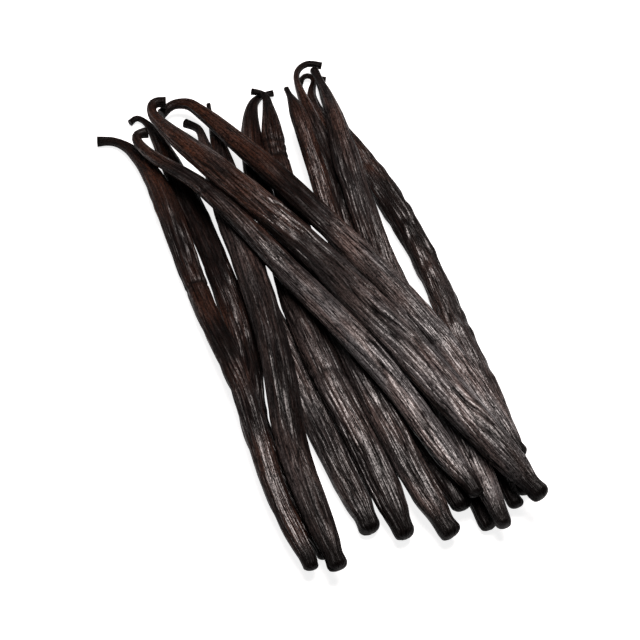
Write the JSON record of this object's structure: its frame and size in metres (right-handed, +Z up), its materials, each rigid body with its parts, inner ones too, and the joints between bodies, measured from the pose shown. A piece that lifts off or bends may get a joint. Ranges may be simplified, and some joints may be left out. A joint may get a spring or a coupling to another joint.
{
  "type": "bundle of vanilla pods",
  "caption": "Loose bundle of long, dark, wrinkled vanilla pods with thin hooked stems, lying side by side with some crossed on top.",
  "frame": {"origin": "middle of the bundle's bounding box, on the surface it lies on", "axes": "+Y along the pods, from the blunt tips to the cut stems; +Z up; +X to the right, seen from the tips"},
  "size_m": [0.0842, 0.183, 0.0185],
  "materials": {
    "husk": "dark brown, nearly black, oily and wrinkled along its length"
  },
  "bodies": {
    "root": {"pod_01": "husk", "pod_02": "husk", "pod_03": "husk", "pod_04": "husk", "pod_05": "husk", "pod_06": "husk", "pod_07": "husk", "pod_08": "husk", "pod_09": "husk", "pod_10": "husk", "pod_11": "husk", "pod_12": "husk", "pod_13": "husk", "pod_14": "husk"}
  },
  "joints": []
}
